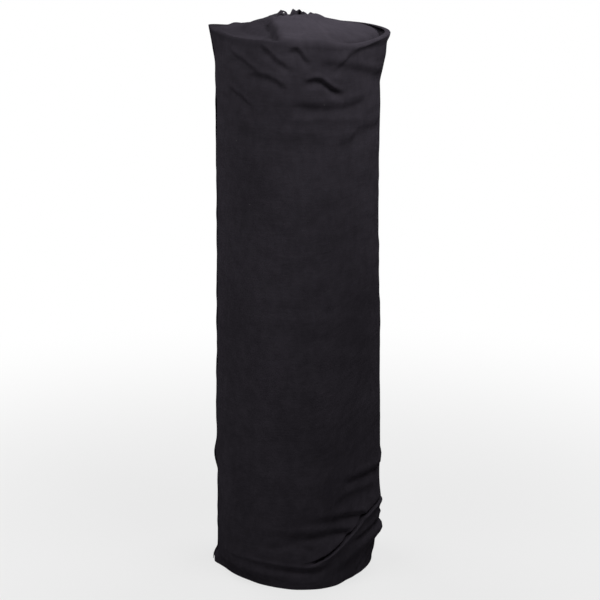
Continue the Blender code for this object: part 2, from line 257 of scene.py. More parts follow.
# The folded rim
RIM_HEIGHT = 1.020
RIM_RADIUS = 0.148
LIP_REACH = 0.0178
RIM_ROUNDING = 0.014
RIM_ROLL = 0.019
RIM_ROUNDING_SHARES = (
    (-180, 0.22), (-166, 0.50), (-150, 0.95), (-125, 1.05), (-90, 1.0), (-64, 0.90), (-46, 0.50),
    (-28, 0.22), (40, 0.20), (90, 0.50), (140, 0.40),
)
RIM_ROLL_SHARES = (
    (-180, 0.60), (-166, 1.00), (-150, 1.50), (-125, 1.60), (-108, 1.35), (-90, 1.0), (-64, 0.90),
    (-46, 0.60), (-28, 0.45), (0, 0.50), (20, 0.50), (40, 0.40), (90, 0.50), (140, 0.40),
)
RIM_PEAK_RISE = 0.011
RIM_RISE_SHARES = (
    (-180, 0.82), (-165, 0.95), (-150, 1.10), (-124, 1.15), (-105, 0.95), (-90, 0.75), (-75, 0.50),
    (-60, -0.10), (-50, -0.50), (-42, -0.50), (-30, -0.18), (-12, 0.0), (14, 0.10), (60, 0.10),
    (118, 0.08), (129, 0.06), (136, 0.22), (145, 0.52), (152, 0.40), (165, 0.48),
)
RIM_SECTION_SHARES = ((0.0, 1.0), (0.076, 0.62), (0.293, 0.293), (0.617, 0.076), (1.0, 0.0))

# The valley behind the lip, and how far the cloth runs in under the lip
VALLEY_DEPTH = 0.0185
VALLEY_SPAN = 0.070
VALLEY_SHARES = (
    (-180, 0.05), (-150, 0.02), (-120, 0.0), (-58, 0.0), (-45, 0.45), (-32, 0.85), (-12, 0.95), (4, 1.0),
    (22, 1.0), (34, 0.50), (46, 0.08), (62, 0.0), (90, 0.0), (140, 0.05),
)
UNDERCUT = 0.0100
UNDERCUT_SHARES = ((-30, 0.0), (-12, 0.1), (2, 0.8), (14, 1.0), (26, 0.7), (38, 0.0), (200, 0.0))
# Rings behind the rim: inset, then shares of the valley's depth, of the way to the dome, of the undercut
VALLEY_PLACES = (
    (0.0010, 0.14, 0.02, 0.0), (0.0020, 0.42, 0.03, 1.0), (0.0044, 0.86, 0.06, 1.0),
    (0.0080, 1.0, 0.11, 0.5), (0.0120, 0.82, 0.17, 0.0), (0.0170, 0.34, 0.24, 0.0),
    (0.0260, 0.08, 0.37, 0.0), (0.0440, 0.02, 0.63, 0.0),
)

# Rings of the gathered hump: radius, and its height as a share of the crest's, at right and at left
HUMP_RINGS = (
    (0.104, 0.30, 0.51), (0.090, 0.41, 0.79), (0.077, 0.51, 0.93), (0.064, 0.60, 0.99),
    (0.053, 0.71, 1.11), (0.044, 0.85, 1.04), (0.036, 0.96, 1.01),
)
CREST_RADIUS = 0.0295
CREST_RISE = 0.034
CREST_SHARES = (
    (-180, 0.76), (-160, 0.77), (-150, 0.80), (-120, 0.88), (-95, 1.0), (-60, 1.0), (-20, 0.96),
    (20, 0.86), (40, 0.80), (60, 0.74), (90, 0.70), (120, 0.68), (150, 0.72),
)
CREST_LEAN_SHARES = ((-180, 0.3), (-170, 0.5), (-160, 0.1), (-120, 0.0), (120, 0.0), (150, 0.0), (170, 0.1))
# The ruffle that stands up on the crest, most of it at the back of the mouth
RUFFLE_SHARES = (
    (-180, 0.20), (-170, 0.10), (-160, 0.03), (-150, 0.0), (20, 0.0), (40, 0.05), (54, 0.13), (64, 0.19),
    (68, 0.19), (73, 0.20), (78, 0.26), (84, 0.30), (90, 0.29), (96, 0.26), (100, 0.30), (104, 0.34),
    (107, 0.37), (110, 0.35), (113, 0.31), (116, 0.22), (119, 0.11), (125, 0.09), (132, 0.10),
    (140, 0.16), (150, 0.25), (168, 0.27),
)
RUFFLE_FOOT_SHARES = (0.30, 0.10)

# Rings inside the mouth: radius and rise over the crest, both again where the crest leans in, share of
# the dark pocket at the mouth's back
MOUTH_RINGS = (
    (0.0270, -0.0030, 0.0244, -0.0010, 0.45), (0.0268, -0.0085, 0.0214, -0.0050, 1.0),
    (0.0285, -0.0130, 0.0230, -0.0092, 1.0), (0.0305, -0.0180, 0.0280, -0.0104, 0.6),
)
MOUTH_POCKET = 0.0085
MOUTH_POCKET_ANGLE = 85
MOUTH_POCKET_TURN = 7.0
THROAT_RADIUS = 0.0332
THROAT_RISES = (0.004, -0.008, -0.017)

# Pleats of the cover: depth, how many go round, and their start and sway in radians
PLEATS = ((0.0021, 9, 0.4, 2.1), (0.0016, 17, 1.9, 1.4), (0.0009, 31, 0.7, 2.6))
PLEAT_SHARES = (
    (-180, 2.2), (-164, 1.9), (-145, 1.3), (-116, 0.60), (-96, 0.14), (-30, 0.10), (20, 0.55), (60, 0.80),
    (86, 0.25), (130, 0.20), (150, 0.30), (168, 1.4),
)
PLEAT_OUT_RADIUS = 0.086
PLEAT_FULL_RADIUS = 0.040
PLEAT_SIDE_SHARE = 0.6
PLEAT_END_SHARE = 0.12
# Wrinkles of the cover: depth, cells round the roll, bands from the axis to the rim, seed
COVER_WRINKLES = ((0.0012, 7, 3.0, 21), (0.0006, 17, 6.0, 22))
COVER_WRINKLE_MARGIN = 0.012
COVER_FADE = 0.02

# The cover's turned-over fold, whose course is (radius, angle)
FOLD_COURSE = ((0.036, -162), (0.056, -149), (0.075, -132), (0.093, -115), (0.118, -106), (0.143, -101))
FOLD_DROP = 0.0105
FOLD_EDGE_TURN = 3.4
FOLD_GROOVE = 0.0046
FOLD_GROOVE_TURN = 4.4
FOLD_BACK_SHARES = ((-235, 0.0), (-185, 0.6), (-150, 1.0))
FOLD_START_RADIUS = 0.040
FOLD_MARGIN = 0.004
FOLD_MARGIN_FADE = 0.018

# Where the cover turns from upright to level and upright again, as shares of the way in
RIM_TURN_SHARE = 0.12
THROAT_START_SHARE = 0.72
THROAT_TURN_SHARE = 0.2

# The small loop of cloth that stands up out of the mouth
LOOP_CENTRE = (-0.0276, -0.008, 1.0504)
LOOP_RADIUS = 0.0062
LOOP_HEIGHT_SHARE = 0.86
LOOP_WIDTH = 0.009
LOOP_START = -148
LOOP_TURN = 292
LOOP_YAW = -6
LOOP_LEG = 0.010
LOOP_LEG_SHARE = 0.16
LOOP_SWELL = 0.10
LOOP_SWELL_ROWS = 5
LOOP_SWELL_COLUMNS = 2
LOOP_NARROWING = 0.2
LOOP_SLANT = 0.10
LOOP_THICKNESS = 0.0022
LOOP_COLUMNS = 14
LOOP_ROWS = 46

# The free end of the web, whose bulges are (rise, height, half height)
TAIL_HEM_LIFT = 0.003
TAIL_TOP_SHARE = 0.6
TAIL_EDGE_FLARE = -0.0002
EAR_FLARE = 0.0016
EAR_RISE = 0.0118
EAR_DEPTH = 0.060
HEM_CORNER_FLARE = 0.0012
HEM_CORNER_DEPTH = 0.040
DOG_EAR_SHARE = 0.10
TAIL_BULGES = ((0.0008, 0.890, 0.034), (-0.0004, 0.856, 0.006))
TAIL_RIPPLE = 0.0003
TAIL_RIPPLE_LENGTH = 0.045
TAIL_RIPPLE_CELLS = 3

# The slack turns and the ends of the wound web
SLACK_RIPPLE = 0.0004
SLACK_RIPPLE_TURN = 20
SLACK_RIPPLE_LENGTH = 0.06
SLACK_RIPPLE_CELLS = 60
END_INSET = 0.0006
END_CHAMFER = 0.002
END_STEP_PITCH = 0.0048
END_STEPS = 40
END_STEP_RISE = 0.0016
END_EDGE_RISE = 0.0005

# The core and the strip that starts the web
CORE_SKIN = 0.0001
CORE_EDGE_SHARE = 0.15
CORE_EDGE_LENGTH = 0.004
CORE_BORE_DROP = 0.0008
CORE_END_GAP = 0.0002
CORE_SEAM_PITCH = 0.095
CORE_SEAM_WIDTH = 0.02
CORE_SEAM_DEPTH = 0.00012
STRIP_LIFT = 0.0002
STRIP_RIPPLE = 0.00008
STRIP_RIPPLE_TURN = 8
STRIP_RIPPLE_LENGTH = 0.03
STRIP_RIPPLE_CELLS = 7

# Noises of the finishes: cells in a metre each way, octaves, and the share that each next one keeps
FIBRE_NOISE = ((2300, 520, 1), 3, 0.65)
BLOTCH_NOISE = ((70, 46, 1), 4, 0.6)
CLOUD_NOISE = ((11, 7, 1), 2, 0.5)
CRUMPLE_NOISE = ((26, 95, 1), 3, 0.55)
RING_NOISE = ((1, 1, 1), 2, 0.5)
PULP_NOISE = ((420, 420, 160), 5, 0.65)
STAIN_NOISE = ((22, 22, 9), 3, 0.5)
CREPE_NOISE = ((180, 1400, 1), 3, 0.6)
GLUE_NOISE = ((60, 40, 1), 2, 0.5)
GRAIN_NOISE = ((30, 30, 30), 3, 0.5)
# The values between which most of a noise lies
NOISE_EDGES = (0.3, 0.7)

# The cloth's finish, with the lowest and highest value over which each mark comes in
FIBRE_CROSSING = 57
FIBRE_EDGES = (0.52, 0.80)
FIBRE_LIGHT = 2.2
POINT_EDGES = (0.55, 0.95)
TONE_EDGES = (0.36, 0.66)
CLOUD_SHARE = 0.45
ROUGHNESS_SWING = 0.05
LINT_SCALES = (58, 58, 1)
LINT_RADIUS = 0.030
LINT_COLOUR = (0.22, 0.21, 0.20, 1)
LINT_COVER_SHARE = 0.8
CRUMPLE_RELIEF = 0.0016
FIBRE_RELIEF = 0.00022
POINT_RELIEF = 0.00016
LINT_RELIEF = 0.0002
TURN_EDGE_RELIEF = 0.00016
END_FIBRE_RELIEF = 0.0003
END_BORDER = 0.001
RINGS_IN_METRE = 900
RING_EDGES = (0.35, 0.7)
RING_COVER_SHARE = 0.6
RING_LIGHT = 2.4
# Painted light on the cover: its colour is painted lighter right of its turned-over fold, where the dome
# catches the light, and painted darker, as painted shade, left of it
COVER_FOLD_SLANT = 0.2
COVER_FOLD_SIDE = 0.055
COVER_FOLD_EDGES = (-0.012, 0.012)
# Heights over which the painted highlight comes in, right of the fold
PAINTED_LIGHT_LEVELS = (1.020, 1.040)
# Heights over which the painted shade comes in, left of the fold
PAINTED_SHADE_LEVELS = (1.008, 1.026)

# The finishes of the core and the strip
STAIN_EDGES = (0.45, 0.75)
SEAM_SHARE = 0.03
PULP_RELIEF = 0.00025
SEAM_RELIEF = 0.0003
GLUE_EDGES = (0.5, 0.8)
CREPE_RELIEF = 0.0001

# The stage, whose panels are (side, depth, height, power) as shares of the settings
PANEL_SHARES = (
    (-1, -1, 1.2, 0.74), (1, -1, 1.06, 1.1), (1, 1, 1.05, 1.0), (-1, 1, 1.05, 1.0),
    (-1.2, -0.8, 0.3, 0.15),
)
PANEL_AIM = (0, 0, 1.0)
FLOOR_LEVEL = -0.0005
FLOOR_GLOW = 0.72
FLOOR_FADE_SHARES = (0.15, 0.75)
FLOOR_BORE_RADIUS = 0.02
FLOOR_GRAIN_SHARE = 0.99
FLOOR_ROUGHNESS = 0.9
SENSOR_WIDTH = 36
WHITE = (1, 1, 1, 1)
EDGE_ANGLE = math.radians(50)

# Keeps a division away from zero
TINY = 1e-12

# Seeds of the random draws
TAIL_SEED = 31
SLACK_SEED = 41
END_SEED = 51
STRIP_SEED = 61
LOOP_SEED = 71


def ease(share):
    share = np.clip(share, 0, 1)
    return share * share * (3 - 2 * share)


def mix(low, high, share):
    return low + (high - low) * share


def along(shares, place):
    """The value at a place, on a smooth curve through (place, value) pairs that never overshoots."""
    places, values = np.array(shares, float).T
    gaps = np.diff(places)
    slopes = np.diff(values) / gaps
    product = slopes[:-1] * slopes[1:]
    total = np.abs(slopes[:-1] + slopes[1:]) + TINY
    tangents = np.where(product > 0, 2 * product / total * np.sign(slopes[1:]), 0)
    tangents = np.concatenate((slopes[:1], tangents, slopes[-1:]))
    low = np.clip(np.searchsorted(places, place, side="right") - 1, 0, len(gaps) - 1)
    share = np.clip((place - places[low]) / gaps[low], 0, 1)
    rest = 1 - share
    start = (1 + 2 * share) * rest**2 * values[low] + share * rest**2 * gaps[low] * tangents[low]
    end = share**2 * (3 - 2 * share) * values[low + 1] - share**2 * rest * gaps[low] * tangents[low + 1]
    return start + end


def around(shares, angle):
    """The value at an angle, from (degrees, value) pairs that go once round."""
    before = [(turn - FULL_TURN, value) for turn, value in shares[-2:]]
    after = [(turn + FULL_TURN, value) for turn, value in shares[:2]]
    return along((*before, *shares, *after), (angle - shares[0][0]) % FULL_TURN + shares[0][0])


def facing(angle):
    """The same angle, from -180 to 180."""
    return (angle + FULL_TURN / 2) % FULL_TURN - FULL_TURN / 2


def soft_noise(across, up, cells, seed):
    """Smooth noise from -1 to 1 that repeats after that many cells across."""
    rows = int(np.ceil(up.max() - np.floor(up.min()))) + 2
    values = np.random.default_rng(seed).uniform(-1, 1, (rows, cells))
    up = up - np.floor(up.min())
    column = np.floor(across).astype(int)
    row = np.floor(up).astype(int)
    side = ease(across - column)
    rise = ease(up - row)
    low = mix(values[row, column % cells], values[row, (column + 1) % cells], side)
    high = mix(values[row + 1, column % cells], values[row + 1, (column + 1) % cells], side)
    return mix(low, high, rise)


def through(rings, count):
    """Evenly spaced points on a smooth curve through the rings, which are on the first axis."""
    rings = np.concatenate((2 * rings[:1] - rings[1:2], rings, 2 * rings[-1:] - rings[-2:-1]))
    step = np.linspace(0, len(rings) - 3, count)
    low = np.minimum(step.astype(int), len(rings) - 4)
    share = (step - low).reshape(-1, *([1] * (rings.ndim - 1)))
    before, start, end, after = (rings[low + offset] for offset in range(4))
    bend = 2 * before - 5 * start + 4 * end - after
    twist = 3 * (start - end) + after - before
    return start + (end - before) * share / 2 + bend * share**2 / 2 + twist * share**3 / 2


def crease_height(angle, sizes):
    return sizes.gather_height * around(CREASE_SHARES, angle)


def crease_shift(angle, height):
    """How far creases and puffs move the wall out. A crease is steep above and slopes away below."""
    shift = np.zeros(np.broadcast(angle, height).shape)
    angle = facing(angle)
    for depth, width, start, end, course in WALL_CREASES + BACK_CREASES:
        turns, heights = zip(*course)
        inside = ease((angle - turns[0]) / start) * ease((turns[-1] - angle) / end)
        away = (height - np.interp(angle, turns, heights)) / width + CREASE_DARK_PLACE
        below = np.where(away < 0, away / CREASE_SLOPE, away)
        bulge = CREASE_BULGE_SHARE * np.exp(-((away - CREASE_BULGE_PLACE) ** 2))
        shift -= depth * inside * (np.exp(-(below**2)) - bulge)
    for rise, turn, width, middle, reach in PUFFS:
        across = facing(angle - turn) / width
        shift += rise * np.exp(-(across**2) - ((height - middle) / reach) ** 2)
    return shift


def wrinkle_shift(angle, height):
    """How far the soft wrinkles move the wall out."""
    shift = np.zeros(np.broadcast(angle, height).shape)
    share = angle / FULL_TURN + 1
    for depth, cells, length, slant, low, high, seed in WALL_WRINKLES:
        inside = ease((height - low) / WRINKLE_FADE) * ease((high - height) / WRINKLE_FADE)
        up = height / length + slant * np.sin(math.tau * share) + 2
        across = cells * (share + slant * height / math.tau)
        shift += depth * inside * soft_noise(across, up, cells, seed)
    return shift


def rim_top(angle):
    """Height of the rim, which rises to the ear."""
    return RIM_HEIGHT + RIM_PEAK_RISE * around(RIM_RISE_SHARES, angle)


def rim_rounding(angle):
    return RIM_ROUNDING * around(RIM_ROUNDING_SHARES, angle)


def wall_radius(angle, height, sizes):
    """Outside of the slack outer turn, with its slumped foot, lip, creases and wrinkles."""
    slump = along(SLUMP_SHARES, height / RIM_HEIGHT)
    radius = mix(WAIST_RADIUS, BODY_FOOT_RADIUS, slump)
    crease = crease_height(angle, sizes)
    hem = mix(DRAWN_IN_RADIUS, FOOT_RADIUS, around(HEM_SHARES, angle))
    start = crease * LOBE_START_SHARE
    top = crease * LOBE_TOP_SHARE
    radius = mix(hem, radius, ease((height - start) / (top - start)))
    lobe = np.exp(-(((height - top) / LOBE_WIDTH) ** 2))
    radius = radius + LOBE_RISE * around(LOBE_SHARES, angle) * lobe
    flare = along(FLARE_SHARES, np.clip(RIM_HEIGHT - height, 0, 1))
    radius = radius + LIP_REACH * around(LIP_SHARES, angle) * flare
    lean = ease((height - TOP_LEAN_START) / TOP_LEAN_LENGTH)
    radius = radius - TOP_LEAN * along(TOP_LEAN_SHARES, facing(angle)) * lean
    return radius + crease_shift(angle, height) + wrinkle_shift(angle, height)


def wall_grid(angle, sizes):
    """Radius and height of the wall's rows at each angle, from the hem to under the rim."""
    crease = crease_height(angle, sizes)
    hem = np.linspace(0, 1, HEM_ROWS, endpoint=False)[:, None]
    body = np.linspace(0, 1, BODY_ROWS + 1)[1:, None]
    upper = np.linspace(0, 1, UPPER_ROWS + 1)[1:, None]
    away, out, rise = through(np.array(TUCK_SECTION), TUCK_ROWS).T[:, :, None]
    wall_top = rim_top(angle) - rim_rounding(angle) - WALL_TOP_GAP
    height = np.concatenate(
        (
            mix(HEM_LIFT, crease - TUCK_REACH, hem),
            crease + away,
            mix(crease + TUCK_REACH, BODY_TOP, body),
            mix(BODY_TOP, wall_top, upper),
        )
    )
    radius = wall_radius(angle[None, :], height, sizes)
    strength = sizes.tuck_strength * around(TUCK_SHARES, angle)
    rows = slice(HEM_ROWS, HEM_ROWS + TUCK_ROWS)
    radius[rows] += out * strength
    height[rows] += rise * strength
    return radius, height


def pleat_wave(angle):
    """How far the pleats lift the cover round its mouth."""
    turn = np.radians(angle)
    wave = np.zeros_like(turn)
    for depth, count, start, sway in PLEATS:
        wave += depth * np.sin(count * turn + start + sway * np.sin(2 * turn + start))
    return wave * around(PLEAT_SHARES, angle)


def cover_rings(angle, sizes):
    """Radius and height of each ring of the cover, from the wall's top in to the throat."""
    rounding = rim_rounding(angle)
    roll = RIM_ROLL * around(RIM_ROLL_SHARES, angle)
    rim = rim_top(angle)
    lip = wall_radius(angle, rim - rounding, sizes)
    zeros = 0 * lip
    valley = VALLEY_DEPTH * around(VALLEY_SHARES, angle)
    undercut = UNDERCUT * around(UNDERCUT_SHARES, angle)
    crest = CREST_RISE * around(CREST_SHARES, angle) * sizes.crest_share
    ruffle = CREST_RISE * around(RUFFLE_SHARES, angle)
    lean = around(CREST_LEAN_SHARES, angle)
    rings = [(lip - roll * inward, rim - rounding * below) for inward, below in RIM_SECTION_SHARES]
    left = (1 - np.cos(np.radians(angle))) / 2
    hump = []
    for radius, near_share, far_share in HUMP_RINGS:
        hump.append((radius + zeros, RIM_HEIGHT + crest * mix(near_share, far_share, left)))
    span = (lip - roll - HUMP_RINGS[0][0]) / VALLEY_SPAN
    for inset, share, inward, under in VALLEY_PLACES:
        inner = lip - roll - inset * span + undercut * under
        rings.append((inner, mix(rim, hump[0][1], inward) - valley * share))
    for place, share in enumerate(RUFFLE_FOOT_SHARES, 1):
        radius, height = hump[-place]
        hump[-place] = (radius, height + ruffle * share)
    rings += hump
    top = RIM_HEIGHT + crest + ruffle
    rings.append((CREST_RADIUS + zeros, top))
    pocket = MOUTH_POCKET * np.exp(-((facing(angle - MOUTH_POCKET_ANGLE) / MOUTH_POCKET_TURN) ** 2))
    for radius, rise, curl_radius, curl_rise, share in MOUTH_RINGS:
        rings.append((mix(radius, curl_radius, lean) + pocket * share, top + mix(rise, curl_rise, lean)))
    for rise in THROAT_RISES:
        rings.append((THROAT_RADIUS + zeros, RIM_HEIGHT + rise + zeros))
    return np.array(rings)


def cover_grid(angle, sizes):
    """Radius and height of the cover's rows, with its pleats, wrinkles and turned-over fold."""
    radius, height = np.moveaxis(through(cover_rings(angle, sizes), COVER_ROWS), 1, 0)
    place = np.linspace(0, 1, COVER_ROWS)[:, None]
    pleats = ease((PLEAT_OUT_RADIUS - radius) / (PLEAT_OUT_RADIUS - PLEAT_FULL_RADIUS))
    wave = pleat_wave(angle) * pleats * ease((1 - place) / PLEAT_END_SHARE)
    radius = radius + wave * PLEAT_SIDE_SHARE
    height = height + wave
    inside = ease((radius - PLEAT_FULL_RADIUS) / COVER_FADE)
    inside = inside * ease((RIM_RADIUS - COVER_WRINKLE_MARGIN - radius) / COVER_FADE)
    for depth, cells, bands, seed in COVER_WRINKLES:
        across = cells * (angle / FULL_TURN + 1) + 0 * radius
        height = height + depth * inside * soft_noise(across, bands * radius / RIM_RADIUS, cells, seed)
    course, turns = zip(*FOLD_COURSE)
    edge = np.interp(radius, course, turns)
    turn = facing(angle + FULL_TURN / 3) - FULL_TURN / 3
    beyond = ease((edge - turn) / FOLD_EDGE_TURN) * along(FOLD_BACK_SHARES, turn)
    groove = np.exp(-(((turn - edge + FOLD_GROOVE_TURN / 2) / FOLD_GROOVE_TURN) ** 2))
    reach = ease((radius - FOLD_START_RADIUS) / COVER_FADE)
    reach = reach * ease((RIM_RADIUS - FOLD_MARGIN - radius) / FOLD_MARGIN_FADE)
    height = height - FOLD_DROP * beyond * reach
    return radius, height - FOLD_GROOVE * groove * reach


def loop_points():
    """A ribbon of the cover that turns over on itself above the mouth, seen nearly end on."""
    turn = np.radians(np.linspace(LOOP_START, LOOP_START + LOOP_TURN, LOOP_ROWS))[:, None]
    share = np.linspace(0, 1, LOOP_ROWS)[:, None]
    width = np.linspace(-0.5, 0.5, LOOP_COLUMNS + 1)
    last_leg = share - (1 - LOOP_LEG_SHARE)
    leg = LOOP_LEG * (ease(1 - share / LOOP_LEG_SHARE) + ease(last_leg / LOOP_LEG_SHARE))
    lumps = width[None, :] * LOOP_SWELL_COLUMNS + 0 * share
    lumps = soft_noise(share * LOOP_SWELL_ROWS, lumps, LOOP_SWELL_ROWS + 1, LOOP_SEED)
    swell = 1 + LOOP_SWELL * lumps
    across = LOOP_RADIUS * np.sin(turn) * swell
    up = LOOP_RADIUS * LOOP_HEIGHT_SHARE * np.cos(turn) * swell - leg
    deep = LOOP_WIDTH * width * (1 - LOOP_NARROWING * np.cos(turn)) + LOOP_SLANT * across
    yaw = math.radians(LOOP_YAW)
    side = across * math.cos(yaw) - deep * math.sin(yaw)
    depth = across * math.sin(yaw) + deep * math.cos(yaw)
    return np.stack(np.broadcast_arrays(side, depth, up), axis=-1) + LOOP_CENTRE


def underlap(angle):
    """How far the cloth is drawn in near its start, where the free end lies over it."""
    past = (angle - WRAP_START - UNDERLAP_FLAT_TURN) / UNDERLAP_FADE_TURN
    return UNDERLAP_DROP * (1 - ease(past))


def to_points(radius, angle, height):
    turn = np.radians(angle)
    return np.stack(np.broadcast_arrays(radius * np.cos(turn), radius * np.sin(turn), height), axis=-1)


def flat_measures(points, span):
    """How far each point lies along the rows and the columns, in metres of flat cloth."""
    steps = np.linalg.norm(np.diff(points, axis=0), axis=-1).mean(axis=1)
    up = np.concatenate(([0], np.cumsum(steps)))
    across = np.linspace(0, span, points.shape[1])
    return np.stack(np.broadcast_arrays(across[None, :], up[:, None]), axis=-1)


def grid_piece(name, points, span, closed=False):
    """A sheet from a grid of points, whose UVs are metres of flat cloth. Each row is span long."""
    rows, columns = points.shape[:2]
    index = np.arange(rows * columns).reshape(rows, columns)
    right = np.roll(index, -1, axis=1) if closed else index[:, 1:]
    left = index if closed else index[:, :-1]
    faces = np.stack((left[:-1], right[:-1], right[1:], left[1:]), axis=-1).reshape(-1, 4)
    mesh = bpy.data.meshes.new(name)
    mesh.from_pydata(points.reshape(-1, 3).tolist(), [], faces.tolist())
    flat = mesh.uv_layers.new(name="Flat cloth")
    corners = np.zeros(len(mesh.loops), int)
    mesh.loops.foreach_get("vertex_index", corners)
    measures = flat_measures(points, span).reshape(-1, 2)
    flat.data.foreach_set("uv", measures[corners].astype(np.float32).ravel())
    mesh.shade_smooth()
    piece = bpy.data.objects.new(name, mesh)
    bpy.context.scene.collection.objects.link(piece)
    return piece


def thicken(piece, thickness):
    """Gives a sheet its thickness, inward, and keeps the result as its mesh."""
    shell = piece.modifiers.new("Cloth thickness", "SOLIDIFY")
    shell.thickness = thickness
    shell.offset = -1
    shown = piece.evaluated_get(bpy.context.evaluated_depsgraph_get())
    mesh = bpy.data.meshes.new_from_object(shown)
    piece.modifiers.clear()
    mesh.set_sharp_from_angle(angle=EDGE_ANGLE)
    piece.data = mesh
    return piece


def outer_points(sizes):
    """The outer cloth, from its hem up the wall, over the rim and in to the throat of the mouth."""
    angle = np.linspace(WRAP_START, WRAP_START + WRAP_TURN, OUTER_COLUMNS + 1)
    wall = wall_grid(angle, sizes)
    cover = cover_grid(angle, sizes)
    radius = np.concatenate((wall[0], cover[0]))
    height = np.concatenate((wall[1], cover[1]))
    turned = np.concatenate((np.zeros(len(wall[0])), np.linspace(0, 1, COVER_ROWS)))
    turns = ease(turned / RIM_TURN_SHARE) + ease((turned - THROAT_START_SHARE) / THROAT_TURN_SHARE)
    lean = (math.pi / 2 * turns)[:, None]
    inward = underlap(angle) + EDGE_SEAT * ease((angle - angle[-1]) / EDGE_SEAT_TURN + 1)
    return to_points(radius - inward * np.cos(lean), angle, height - inward * np.sin(lean))


def tail_points(sizes):
    """The free end, from the hinge line to the edge that stands a little proud of the roll."""
    share = np.linspace(0, 1, TAIL_COLUMNS + 1)
    angle = HINGE_ANGLE + mix(math.degrees(SEAT_GAP / RIM_RADIUS), TAIL_TURN, share)
    top = rim_top(angle) - rim_rounding(angle)
    top = mix(top, RIM_HEIGHT, ease(share / TAIL_TOP_SHARE))
    height = mix(TAIL_HEM_LIFT, top, np.linspace(0, 1, TAIL_ROWS)[:, None])
    below_rim = np.minimum(height, rim_top(angle) - rim_rounding(angle))
    radius = wall_radius(angle - FULL_TURN, below_rim, sizes)
    edge = ease((share - DOG_EAR_SHARE) / (1 - DOG_EAR_SHARE))
    ear = np.clip((height - RIM_HEIGHT + EAR_DEPTH) / EAR_DEPTH, 0, 1)
    hem = np.clip(1 - height / HEM_CORNER_DEPTH, 0, 1)
    flare = TAIL_EDGE_FLARE + EAR_FLARE * ear**2 + HEM_CORNER_FLARE * hem**2
    for rise, middle, width in TAIL_BULGES:
        flare = flare + rise * np.exp(-(((height - middle) / width) ** 2))
    across = share * TAIL_RIPPLE_CELLS + 0 * height
    ripple = soft_noise(across, height / TAIL_RIPPLE_LENGTH, TAIL_RIPPLE_CELLS + 1, TAIL_SEED)
    radius = radius + (flare + TAIL_RIPPLE * ripple) * edge
    return to_points(radius, angle, height + EAR_RISE * edge * ear)


def frame_height():
    """Width of the wound web, which is the height of its packed turns."""
    low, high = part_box("packed_turns")
    return high[2] - low[2]


def slack_points():
    """The three slack turns, wound closer at the foot."""
    column = np.linspace(0, LOOSE_TURNS, SLACK_COLUMNS + 1)
    angle = WRAP_START + FULL_TURN * (column - LOOSE_TURNS)
    height = np.linspace(LOOSE_INSET, frame_height() - LOOSE_INSET, SLACK_ROWS + 1)[:, None]
    rise = ease((height - LOOSE_INSET) / (LOOSE_WAIST - LOOSE_INSET))
    pitch = mix(LOOSE_PITCH_FOOT, LOOSE_PITCH_BODY, rise)
    across = angle / SLACK_RIPPLE_TURN + SLACK_RIPPLE_CELLS
    up = height / SLACK_RIPPLE_LENGTH + 0 * angle
    ripple = SLACK_RIPPLE * soft_noise(across, up, SLACK_RIPPLE_CELLS, SLACK_SEED) * rise
    return to_points(LOOSE_RADIUS + pitch * column + ripple, angle, height + 0 * angle)


def wound_points():
    """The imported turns: both ends show the turns' edges, a little uneven along the spiral."""
    low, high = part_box("packed_turns")
    outer = high[0]
    angle = np.linspace(0, FULL_TURN, WOUND_COLUMNS, endpoint=False)
    across = np.linspace(PACKED_BORE_RADIUS, outer - END_INSET, END_RINGS)[:, None]
    spiral = (across - PACKED_BORE_RADIUS) / END_STEP_PITCH + angle / FULL_TURN
    steps = np.random.default_rng(END_SEED).uniform(0, 1, END_STEPS)
    wander = np.interp(spiral, np.arange(END_STEPS), steps)
    uneven = END_STEP_RISE * wander + END_EDGE_RISE * (1 + np.cos(math.tau * spiral * 2)) / 2
    side = np.linspace(END_CHAMFER, high[2] - END_CHAMFER, SIDE_RINGS)[:, None]
    full = 0 * angle
    radius = np.concatenate((across + full, outer + 0 * side + full, across[::-1] + full))
    height = np.concatenate((uneven, side + full, high[2] - uneven[::-1]))
    points = to_points(radius, angle, height)
    return np.concatenate((points, points[:1]))


def core_points():
    """The cardboard tube: down the bore, round the lower rim and up the outside."""
    low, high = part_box("core_tube")
    wall = CORE_RADIUS - CORE_BORE_RADIUS
    inside = CORE_BORE_RADIUS + CORE_SKIN
    outside = CORE_RADIUS - CORE_SKIN
    rims = (CORE_BORE_RADIUS + wall * CORE_EDGE_SHARE, outside - wall * CORE_EDGE_SHARE)
    foot = low[2] + CORE_EDGE_LENGTH
    top = high[2] - CORE_EDGE_LENGTH
    section = [(inside, high[2] - CORE_BORE_DROP)]
    section += [(inside, height) for height in np.linspace(top, foot, CORE_ROWS)]
    section += [(radius, low[2] + CORE_END_GAP) for radius in rims]
    section += [(outside, height) for height in np.linspace(foot, top, CORE_ROWS)]
    section += [(radius, high[2] - CORE_END_GAP) for radius in rims[::-1]]
    radius, height = np.array(section + section[:1])[:, :, None].transpose(1, 0, 2)
    angle = np.linspace(0, FULL_TURN, CORE_COLUMNS, endpoint=False)
    seam = np.cos(math.tau * (height / CORE_SEAM_PITCH + angle / FULL_TURN))
    dent = CORE_SEAM_DEPTH * np.exp(-(((seam - 1) / CORE_SEAM_WIDTH) ** 2))
    return to_points(radius - dent * (radius > CORE_RADIUS - wall / 2), angle, height)


def strip_points():
    """The strip that holds the start of the web, laid along the core."""
    low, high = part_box("starter_tape")
    angle = np.linspace(0, STRIP_TURN, STRIP_COLUMNS + 1)
    height = np.linspace(low[2], high[2], STRIP_ROWS + 1)[:, None]
    up = height / STRIP_RIPPLE_LENGTH + 0 * angle
    ripple = soft_noise(angle / STRIP_RIPPLE_TURN, up, STRIP_RIPPLE_CELLS, STRIP_SEED)
    return to_points(CORE_RADIUS + SEAT_GAP + STRIP_LIFT + STRIP_RIPPLE * ripple, angle, height)


